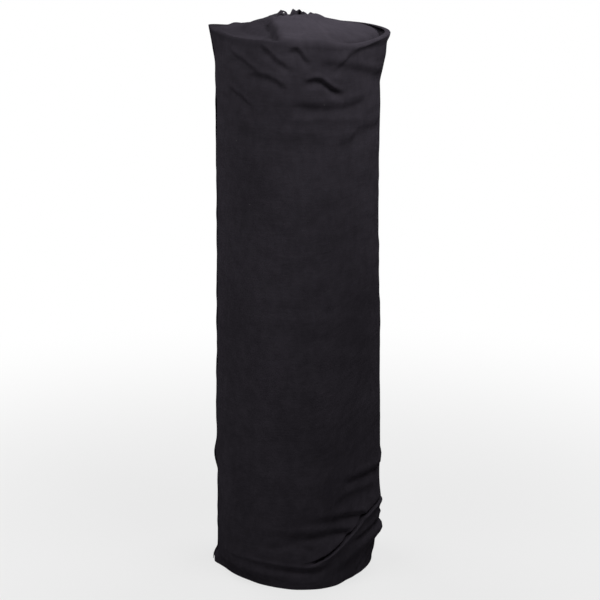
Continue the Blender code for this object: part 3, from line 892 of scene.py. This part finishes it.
class Wire:
    """A value in a material. Arithmetic on it adds Math nodes."""

    def __init__(self, graph, socket):
        self.graph = graph
        self.socket = socket

    def math(self, operation, *values):
        return self.graph.add("ShaderNodeMath", {"operation": operation}, dict(enumerate((self, *values))))

    def __add__(self, other):
        return self.math("ADD", other)

    __radd__ = __add__

    def __mul__(self, other):
        return self.math("MULTIPLY", other)

    __rmul__ = __mul__

    def __sub__(self, other):
        return self.math("SUBTRACT", other)

    def __rsub__(self, other):
        return self.graph.add("ShaderNodeMath", {"operation": "SUBTRACT"}, {0: other, 1: self})

    def __gt__(self, other):
        return self.math("GREATER_THAN", other)

    def __lt__(self, other):
        return self.math("LESS_THAN", other)

    def wave(self, length):
        return (self * (math.tau / length)).math("SINE")


class Graph:
    """The nodes of one material or world."""

    def __init__(self, owner):
        owner.use_nodes = True
        self.owner = owner
        self.tree = owner.node_tree

    def add(self, kind, settings=None, values=None, output=0):
        """A node of a kind, with its settings, then the values or links of its sockets."""
        node = self.tree.nodes.new(kind)
        for name, value in (settings or {}).items():
            setattr(node, name, value)
        for name, value in (values or {}).items():
            self.feed(node.inputs[name], value)
        return Wire(self, node.outputs[output])

    def feed(self, socket, value):
        if isinstance(value, Wire):
            self.tree.links.new(value.socket, socket)
        else:
            socket.default_value = value

    def coordinates(self, kind):
        return self.add("ShaderNodeTexCoord", output=kind)

    def scaled(self, vector, factors):
        return self.add("ShaderNodeVectorMath", {"operation": "MULTIPLY"}, {0: vector, 1: factors})

    def turned(self, vector, angle):
        values = {"Vector": vector, "Rotation": (0, 0, math.radians(angle))}
        return self.add("ShaderNodeVectorRotate", {"rotation_type": "EULER_XYZ"}, values)

    def parts(self, vector):
        return [self.add("ShaderNodeSeparateXYZ", None, {0: vector}, axis) for axis in range(3)]

    def noise(self, vector, recipe):
        factors, octaves, kept = recipe
        values = {"Vector": self.scaled(vector, factors), "Scale": 1, "Detail": octaves, "Roughness": kept}
        return self.add("ShaderNodeTexNoise", None, values)

    def blend(self, share, first, second):
        values = {0: share, 6: first, 7: second}
        return self.add("ShaderNodeMix", {"data_type": "RGBA"}, values, 2)

    def spread(self, value, edges, start=0, end=1):
        """Goes smoothly from start to end while the value goes from the first edge to the second."""
        low, high = edges
        values = {"Value": value, "From Min": low, "From Max": high, "To Min": start, "To Max": end}
        return self.add("ShaderNodeMapRange", {"interpolation_type": "SMOOTHSTEP"}, values)

    def watched(self):
        """1 for a camera, mirror or glass ray, to which the floor and the room look white."""
        seen = self.add("ShaderNodeLightPath", output="Is Camera Ray")
        glossy = self.add("ShaderNodeLightPath", output="Is Glossy Ray")
        through_glass = self.add("ShaderNodeLightPath", output="Is Transmission Ray")
        return seen.math("MAXIMUM", glossy).math("MAXIMUM", through_glass)

    def surface(self, colour, roughness, height, depth_share, gloss):
        shader = self.tree.nodes["Principled BSDF"]
        bump = self.add("ShaderNodeBump", None, {"Strength": depth_share, "Distance": 1, "Height": height})
        self.feed(shader.inputs["Base Color"], colour)
        self.feed(shader.inputs["Roughness"], roughness)
        self.feed(shader.inputs["Normal"], bump)
        shader.inputs["Specular IOR Level"].default_value = gloss
        return self.owner


def from_axis(side, depth):
    """Distance from the roll's axis."""
    return (side * side + depth * depth).math("SQRT")


def round_axis(side, depth):
    """Turns round the roll's axis."""
    return depth.math("ARCTAN2", side) * (1 / math.tau)


def opaque(colour, share=1):
    """The colour with its channels times a share, and full alpha."""
    return (*(channel * share for channel in colour), 1)


def cloth_finish(name, colour, looks, end_radius=None, cover=False):
    """Spun nonwoven: matted fibres, rows of pressed points, soft blotches and a little lint; on the cover,
    painted light right of its fold and painted shade left of it.
    """
    graph = Graph(bpy.data.materials.new(name))
    place = graph.coordinates("UV")
    fibre = graph.noise(place, FIBRE_NOISE)
    cross = graph.noise(graph.turned(place, FIBRE_CROSSING), FIBRE_NOISE)
    mat = fibre.math("MAXIMUM", cross)
    across, along_web = graph.parts(place)[:2]
    points = (across + along_web).wave(looks.point_pitch) * (across - along_web).wave(looks.point_pitch)
    pressed = graph.spread(points, POINT_EDGES)
    blotch = graph.noise(place, BLOTCH_NOISE)
    cloud = graph.noise(place, CLOUD_NOISE)
    tone = graph.spread(blotch * (1 - CLOUD_SHARE) + cloud * CLOUD_SHARE, TONE_EDGES)
    shade = graph.blend(tone, opaque(colour, 1 - looks.mottle), opaque(colour, 1 + looks.mottle))
    fibres = graph.spread(mat, FIBRE_EDGES, 0, looks.fibre_share)
    shade = graph.blend(fibres, shade, opaque(colour, FIBRE_LIGHT))
    specks = {"Vector": graph.scaled(place, LINT_SCALES), "Scale": 1}
    near = graph.add("ShaderNodeTexVoronoi", None, specks, "Distance")
    chosen = graph.parts(graph.add("ShaderNodeTexVoronoi", None, specks, "Color"))[0]
    lint = (near < LINT_RADIUS) * (chosen > 1 - looks.lint_share)
    shade = graph.blend(lint * LINT_COVER_SHARE, shade, LINT_COLOUR)
    crumple = graph.noise(place, CRUMPLE_NOISE)
    height = crumple * CRUMPLE_RELIEF + mat * FIBRE_RELIEF - pressed * POINT_RELIEF + lint * LINT_RELIEF
    if end_radius:
        side, depth = graph.parts(graph.coordinates("Object"))[:2]
        away = from_axis(side, depth)
        turn = round_axis(side, depth)
        edges = (away * (1 / looks.turn_pitch) + turn).wave(1)
        inside = away < end_radius - END_BORDER
        height = height * (1 - inside) + inside * (edges * TURN_EDGE_RELIEF + mat * END_FIBRE_RELIEF)
        spiral = {0: away * RINGS_IN_METRE + turn}
        ring = graph.noise(graph.add("ShaderNodeCombineXYZ", None, spiral), RING_NOISE)
        rings = inside * graph.spread(ring, RING_EDGES, 0, RING_COVER_SHARE)
        shade = graph.blend(rings, shade, opaque(colour, RING_LIGHT))
    # On the cover, painted light: the colour is painted lighter right of the fold and darker, as painted
    # shade, left of it
    if cover:
        side, depth, level = graph.parts(graph.coordinates("Object"))
        past_fold = side + depth * COVER_FOLD_SLANT + COVER_FOLD_SIDE
        painted_lit_side = graph.spread(past_fold, COVER_FOLD_EDGES)
        brightened = painted_lit_side * graph.spread(level, PAINTED_LIGHT_LEVELS)
        painted_shade = (1 - painted_lit_side) * graph.spread(level, PAINTED_SHADE_LEVELS)
        # Painted highlight right of the fold
        shade = graph.blend(brightened * looks.painted_light, shade, opaque(colour, 2))
        # Painted shade left of the fold
        shade = graph.blend(painted_shade * looks.painted_light, shade, opaque(colour, 0))
    smooth = looks.roughness - ROUGHNESS_SWING
    rough = graph.spread(blotch, NOISE_EDGES, smooth, looks.roughness + ROUGHNESS_SWING)
    return graph.surface(shade, rough, height, looks.relief, looks.specular)


def cardboard_finish(looks):
    """Spiral-wound cardboard: its ply seam, pulp and a few stains."""
    graph = Graph(bpy.data.materials.new("Core cardboard"))
    place = graph.coordinates("Object")
    side, depth, level = graph.parts(place)
    ply = (level * (1 / CORE_SEAM_PITCH) + round_axis(side, depth)).math("FRACT")
    seam = graph.spread(ply, (0, SEAM_SHARE), 1, 0)
    pulp = graph.noise(place, PULP_NOISE)
    stain = graph.noise(place, STAIN_NOISE)
    board = looks.cardboard
    colour = graph.blend(graph.spread(pulp, NOISE_EDGES), opaque(board, 0.82), opaque(board, 1.18))
    colour = graph.blend(graph.spread(stain, STAIN_EDGES, 0, 0.35), colour, opaque(board, 0.6))
    colour = graph.blend(seam * 0.6, colour, opaque(board, 0.45))
    rough = graph.spread(stain, NOISE_EDGES, 0.8, 0.92)
    return graph.surface(colour, rough, pulp * PULP_RELIEF - seam * SEAM_RELIEF, 0.7, 0.3)


def strip_finish(looks):
    """Creped paper strip with blotches of glue showing through."""
    graph = Graph(bpy.data.materials.new("Starter strip paper"))
    place = graph.coordinates("UV")
    crepe = graph.noise(place, CREPE_NOISE)
    glue = graph.noise(place, GLUE_NOISE)
    paper = looks.strip
    colour = graph.blend(graph.spread(crepe, NOISE_EDGES), opaque(paper, 0.85), opaque(paper, 1.12))
    colour = graph.blend(graph.spread(glue, GLUE_EDGES, 0, 0.4), colour, opaque(paper, 0.6))
    rough = graph.spread(glue, NOISE_EDGES, 0.4, 0.6)
    return graph.surface(colour, rough, crepe * CREPE_RELIEF, 0.8, 0.5)


def add_floor(stage):
    """A round pale floor that fades to the white background and keeps the roll's shadow."""
    rings = np.linspace(FLOOR_BORE_RADIUS, stage.floor_radius, FLOOR_RINGS)[:, None]
    angle = np.linspace(0, FULL_TURN, FLOOR_COLUMNS, endpoint=False)
    floor = grid_piece("floor", to_points(rings + 0 * angle, angle, FLOOR_LEVEL), 1, closed=True)
    graph = Graph(bpy.data.materials.new("Pale floor"))
    place = graph.coordinates("Object")
    side, depth = graph.parts(place)[:2]
    reach = [stage.floor_radius * share for share in FLOOR_FADE_SHARES]
    fade = graph.spread(from_axis(side, depth), reach)
    grain = graph.noise(place, GRAIN_NOISE)
    dull = opaque(stage.floor_colour, FLOOR_GRAIN_SHARE)
    colour = graph.blend(grain, dull, opaque(stage.floor_colour))
    shader = graph.tree.nodes["Principled BSDF"]
    graph.feed(shader.inputs["Base Color"], colour)
    shader.inputs["Roughness"].default_value = FLOOR_ROUGHNESS
    glow = graph.add("ShaderNodeEmission", None, {"Color": WHITE, "Strength": 1})
    white = graph.watched() * (fade * (1 - FLOOR_GLOW) + FLOOR_GLOW)
    mixed = graph.add("ShaderNodeMixShader", None, {0: white, 1: Wire(graph, shader.outputs[0]), 2: glow})
    graph.feed(graph.tree.nodes["Material Output"].inputs["Surface"], mixed)
    floor.data.materials.append(graph.owner)


def add_lights(scene, stage):
    """Soft panels round the roll, and a room that looks white but hardly lights it."""
    for side, depth, rise, share in PANEL_SHARES:
        panel = bpy.data.lights.new("Soft panel", "AREA")
        panel.shape = "SQUARE"
        panel.size = stage.panel_size
        panel.energy = stage.panel_power * share
        lamp = bpy.data.objects.new("Soft panel", panel)
        place = Vector((side * stage.panel_spread, depth * stage.panel_spread, stage.panel_height * rise))
        lamp.location = place
        lamp.rotation_euler = (Vector(PANEL_AIM) - place).to_track_quat("-Z", "Y").to_euler()
        lamp.visible_camera = False
        scene.collection.objects.link(lamp)
    world = bpy.data.worlds.new("White room")
    scene.world = world
    graph = Graph(world)
    background = graph.tree.nodes["Background"]
    background.inputs["Color"].default_value = WHITE
    strength = graph.watched() * (1 - stage.room_light) + stage.room_light
    graph.feed(background.inputs["Strength"], strength)


def finish_piece(piece, finish, body=None):
    piece.data.materials.append(finish)
    if body:
        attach(piece, body)


def colour_setting(name, description, default):
    return bpy.props.FloatVectorProperty(
        name=name, description=description, default=default, min=0, max=1, subtype="COLOR",
    )


def share_setting(name, description, default, low=0, high=1):
    return bpy.props.FloatProperty(
        name=name, description=description, default=default, min=low, max=high, subtype="FACTOR",
    )


def length_setting(name, description, default, low=0, high=10):
    return bpy.props.FloatProperty(
        name=name, description=description, default=default, min=low, max=high, unit="LENGTH",
    )


class RollShape(bpy.types.PropertyGroup):
    """Sizes of the cloth that a user would change."""

    gather_height: length_setting(
        "Tuck height", "Highest point of the diagonal tuck above the floor", 0.138, 0.10, 0.16,
    )
    tuck_strength: share_setting("Tuck strength", "How deep the diagonal tuck is drawn in", 1.0, 0, 1.3)
    crest_share: share_setting(
        "Mouth height", "Height of the gathered mouth, as a share of the usual one", 1.0, 0.6, 1.1,
    )


class ClothLooks(bpy.types.PropertyGroup):
    """Colours and surface of the web."""

    outer: colour_setting("Outer cloth", "Colour of the outer turn", (0.0272, 0.0242, 0.0302))
    slack: colour_setting("Slack turns", "Colour of the slack turns", (0.0200, 0.0180, 0.0225))
    wound: colour_setting("Wound web", "Colour of the packed turns", (0.0190, 0.0175, 0.0215))
    roughness: share_setting("Roughness", "Middle of the cloth's roughness", 0.86, 0.3, 0.95)
    specular: share_setting("Gloss", "Strength of the cloth's plain gloss", 0.0)
    mottle: share_setting("Blotches", "How far the tone wanders", 0.14, 0, 0.5)
    fibre_share: share_setting("Fibres", "How much the lighter fibres show", 0.35)
    lint_share: share_setting("Lint", "Share of the places that hold a speck of lint", 0.035)
    # Share of painted light on the cover: painted lighter right of its fold, painted shade left of it
    painted_light: share_setting("Painted light", "How much the cover has faded where it lies open", 0.26, 0, 0.5)
    point_pitch: length_setting("Point pitch", "Distance between pressed points", 0.0034)
    turn_pitch: length_setting("Turn pitch", "Distance between wound turns", 0.0011)
    relief: share_setting("Relief", "Strength of the fine relief", 0.55)


class CoreLooks(bpy.types.PropertyGroup):
    """Colours of the core and of the strip that starts the web."""

    cardboard: colour_setting("Cardboard", "Colour of the core tube", (0.36, 0.24, 0.14))
    strip: colour_setting("Strip", "Colour of the starter strip", (0.55, 0.42, 0.25))


class StageLooks(bpy.types.PropertyGroup):
    """The floor, the light and the camera."""

    floor_colour: colour_setting("Floor", "Colour of the floor", (0.36, 0.36, 0.36))
    floor_radius: length_setting("Floor radius", "Radius of the round floor", 2.2)
    panel_power: bpy.props.FloatProperty(
        name="Panel power", description="Power of a panel whose share is 1", default=13.8, unit="POWER",
    )
    panel_height: length_setting("Panel height", "Height of the panels", 1.62)
    panel_spread: length_setting("Panel spread", "How far the panels stand out to each side", 0.66)
    panel_size: length_setting("Panel size", "Side of each panel", 0.7)
    room_light: share_setting("Room light", "Even light from all round", 0.04)
    camera_height: length_setting("Camera height", "Height of the camera", 1.5687)
    camera_distance: length_setting("Camera distance", "Distance in front of the roll", 3.681)
    camera_side: length_setting("Camera side", "Offset to the side", 0.0036, -1, 1)
    camera_pitch: bpy.props.FloatProperty(
        name="Camera pitch", description="Tilt below level", default=math.radians(15.943), subtype="ANGLE",
    )
    camera_lens: bpy.props.FloatProperty(
        name="Lens", description="Focal length in millimetres on a 36 mm frame", default=123.15,
    )


class RollSettings(bpy.types.PropertyGroup):
    """Everything that a user would change."""

    shape: bpy.props.PointerProperty(type=RollShape, name="Shape", description="Sizes of the cloth")
    cloth: bpy.props.PointerProperty(type=ClothLooks, name="Cloth", description="Looks of the web")
    core: bpy.props.PointerProperty(type=CoreLooks, name="Core", description="Looks of the core")
    stage: bpy.props.PointerProperty(type=StageLooks, name="Stage", description="Floor, light and camera")


class FABRICROLL_OT_outer_cloth(bpy.types.Operator):
    """Builds the outer turn, from its hem up the wall and in over the end to the mouth"""

    bl_idname = "fabric_roll.outer_cloth"
    bl_label = "Outer cloth"

    def execute(self, context):
        settings = context.scene.fabric_roll
        span = math.tau * RIM_RADIUS * WRAP_TURN / FULL_TURN
        piece = grid_piece("outer_cloth", outer_points(settings.shape), span)
        # cover=True paints light and shade into the cover's colour either side of its fold
        finish = cloth_finish("Outer cloth", settings.cloth.outer, settings.cloth, cover=True)
        finish_piece(piece, finish, "wrap")
        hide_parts("outer_wrap", "top_cover")
        loop = thicken(grid_piece("mouth_loop", loop_points(), LOOP_WIDTH), LOOP_THICKNESS)
        finish_piece(loop, finish, "wrap")
        return {"FINISHED"}


class FABRICROLL_OT_free_end(bpy.types.Operator):
    """Builds the free end of the web, with its raised ear and turned-out hem corner"""

    bl_idname = "fabric_roll.free_end"
    bl_label = "Free end"

    def execute(self, context):
        settings = context.scene.fabric_roll
        span = RIM_RADIUS * math.radians(TAIL_TURN)
        piece = grid_piece("free_end", tail_points(settings.shape), span)
        thicken(piece, CLOTH_THICKNESS)
        finish = cloth_finish("Free end cloth", settings.cloth.outer, settings.cloth)
        finish_piece(piece, finish)
        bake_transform(piece)
        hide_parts("tail")
        return {"FINISHED"}


class FABRICROLL_OT_slack_turns(bpy.types.Operator):
    """Builds the three slack turns under the outer one"""

    bl_idname = "fabric_roll.slack_turns"
    bl_label = "Slack turns"

    def execute(self, context):
        settings = context.scene.fabric_roll
        piece = grid_piece("slack_turns", slack_points(), math.tau * LOOSE_RADIUS * LOOSE_TURNS)
        thicken(piece, CLOTH_THICKNESS / 2)
        finish = cloth_finish("Slack cloth", settings.cloth.slack, settings.cloth)
        finish_piece(piece, finish, "wrap")
        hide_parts("loose_turns")
        return {"FINISHED"}


class FABRICROLL_OT_wound_web(bpy.types.Operator):
    """Builds the tightly wound web, with the edges of its turns at both ends"""

    bl_idname = "fabric_roll.wound_web"
    bl_label = "Wound web"

    def execute(self, context):
        settings = context.scene.fabric_roll
        piece = grid_piece("wound_web", wound_points(), math.tau * LOOSE_RADIUS, closed=True)
        end_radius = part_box("packed_turns")[1][0]
        finish = cloth_finish("Wound cloth", settings.cloth.wound, settings.cloth, end_radius)
        finish_piece(piece, finish, "winding")
        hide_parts("packed_turns")
        return {"FINISHED"}


class FABRICROLL_OT_core(bpy.types.Operator):
    """Builds the cardboard core and the strip that holds the web's start to it"""

    bl_idname = "fabric_roll.core"
    bl_label = "Core and strip"

    def execute(self, context):
        looks = context.scene.fabric_roll.core
        tube = grid_piece("cardboard_core", core_points(), math.tau * CORE_RADIUS, closed=True)
        finish_piece(tube, cardboard_finish(looks), "winding")
        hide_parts("core_tube")
        strip = grid_piece("starter_strip", strip_points(), CORE_RADIUS)
        finish_piece(strip, strip_finish(looks), "winding")
        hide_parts("starter_tape")
        return {"FINISHED"}


class FABRICROLL_OT_stage(bpy.types.Operator):
    """Sets the floor, the light and the camera"""

    bl_idname = "fabric_roll.stage"
    bl_label = "Stage"

    def execute(self, context):
        scene = context.scene
        stage = scene.fabric_roll.stage
        add_floor(stage)
        add_lights(scene, stage)
        lens = bpy.data.cameras.new("Front view")
        lens.lens = stage.camera_lens
        lens.sensor_width = SENSOR_WIDTH
        lens.dof.use_dof = False
        camera = bpy.data.objects.new("Front view", lens)
        camera.location = (stage.camera_side, -stage.camera_distance, stage.camera_height)
        camera.rotation_euler = (math.pi / 2 - stage.camera_pitch, 0, 0)
        scene.collection.objects.link(camera)
        scene.camera = camera
        scene.view_settings.view_transform = "Standard"
        return {"FINISHED"}


PIECE_OPERATORS = (
    FABRICROLL_OT_wound_web,
    FABRICROLL_OT_core,
    FABRICROLL_OT_slack_turns,
    FABRICROLL_OT_outer_cloth,
    FABRICROLL_OT_free_end,
    FABRICROLL_OT_stage,
)


class FABRICROLL_PT_sidebar(bpy.types.Panel):
    """Lists the pieces of the roll and the settings of each"""

    bl_label = "Fabric roll"
    bl_idname = "FABRICROLL_PT_sidebar"
    bl_space_type = "VIEW_3D"
    bl_region_type = "UI"
    bl_category = "Fabric roll"

    def draw(self, context):
        settings = context.scene.fabric_roll
        for operator in PIECE_OPERATORS:
            self.layout.operator(operator.bl_idname)
        for group in (settings.shape, settings.cloth, settings.core, settings.stage):
            box = self.layout.box()
            for name in group.__annotations__:
                box.prop(group, name)


CLASSES = (
    RollShape,
    ClothLooks,
    CoreLooks,
    StageLooks,
    RollSettings,
    *PIECE_OPERATORS,
    FABRICROLL_PT_sidebar,
)


def register():
    for made in CLASSES:
        bpy.utils.register_class(made)
    bpy.types.Scene.fabric_roll = bpy.props.PointerProperty(type=RollSettings)


def unregister():
    del bpy.types.Scene.fabric_roll
    for made in reversed(CLASSES):
        bpy.utils.unregister_class(made)


def main():
    register()
    bpy.ops.fabric_roll.wound_web()
    bpy.ops.fabric_roll.core()
    bpy.ops.fabric_roll.slack_turns()
    bpy.ops.fabric_roll.outer_cloth()
    bpy.ops.fabric_roll.free_end()
    bpy.ops.fabric_roll.stage()


if __name__ == "__main__":
    main()
